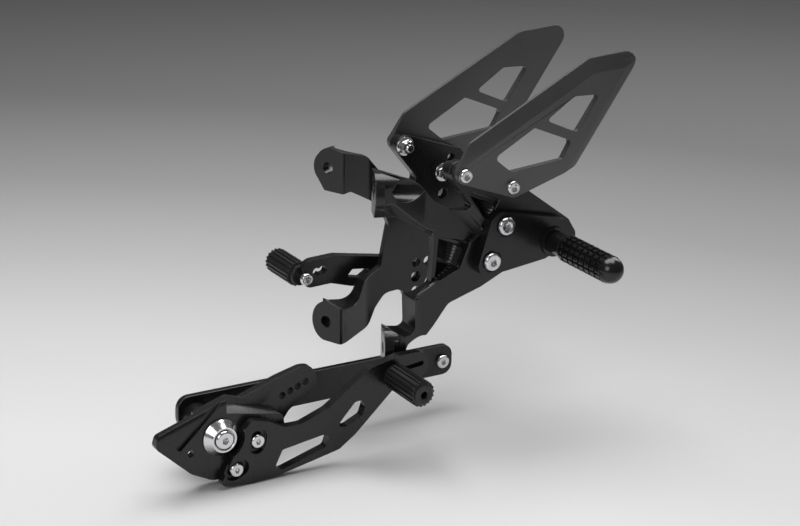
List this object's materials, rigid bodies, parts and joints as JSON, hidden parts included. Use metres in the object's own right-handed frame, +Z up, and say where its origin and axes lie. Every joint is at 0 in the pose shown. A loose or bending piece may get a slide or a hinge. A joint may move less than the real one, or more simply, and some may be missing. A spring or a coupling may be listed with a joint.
{
  "type": "rear set footrest",
  "caption": "Pair of motorcycle rear set footrest hangers with heel guards, pegs, a brake pedal and a separate shift pedal on its bracket.",
  "frame": {"origin": "centre of the left upper mounting bore on its pad face", "axes": "+X towards the rear of the bike, +Y towards its right side, +Z up"},
  "size_m": [0.3811, 0.258, 0.2664],
  "materials": {
    "anodised_black": "satin black anodised, machined",
    "peg_black": "black anodised, toothed",
    "toe_black": "black anodised, ribbed",
    "polished_steel": "polished stainless steel"
  },
  "bodies": {
    "hangers": {"left_hanger": "anodised_black", "left_heel_guard": "anodised_black", "left_guard_bolts": "polished_steel", "left_guard_collar": "anodised_black", "left_peg_holder": "anodised_black", "left_holder_bolts": "polished_steel", "left_footpeg": "peg_black", "left_peg_bolt": "polished_steel", "right_hanger": "anodised_black", "right_heel_guard": "anodised_black", "right_guard_bolts": "polished_steel", "right_flange_nuts": "polished_steel", "right_stay_bolt": "polished_steel", "right_peg_holder": "anodised_black", "right_holder_bolts": "polished_steel", "right_footpeg": "peg_black", "right_peg_bolt": "polished_steel", "brake_bush": "polished_steel", "brake_pivot_bolt": "polished_steel", "shift_bracket": "anodised_black", "bracket_bolt": "polished_steel", "bracket_nut": "polished_steel", "shift_spacer": "anodised_black", "cam_bush": "polished_steel", "cone_washer": "polished_steel", "shift_pivot_bolt": "polished_steel"},
    "brake_pedal": {"brake_lever": "anodised_black", "brake_toe_piece": "toe_black", "brake_toe_bolt": "polished_steel"},
    "shift_pedal": {"shift_cam": "anodised_black", "shift_pedal": "anodised_black", "shift_pedal_bolts": "polished_steel", "shift_toe_piece": "toe_black", "shift_toe_bolt": "polished_steel"}
  },
  "joints": [
    {"name": "brake_pivot", "type": "hinge", "parent": "hangers", "child": "brake_pedal", "pos_m": [0.0765, 0.0865, -0.0945], "axis": [0, 1, 0], "range_deg": [-12, 3]},
    {"name": "shift_pivot", "type": "hinge", "parent": "hangers", "child": "shift_pedal", "pos_m": [-0.126, -0.0125, -0.149], "axis": [0, 1, 0], "range_deg": [-12, 12]}
  ]
}
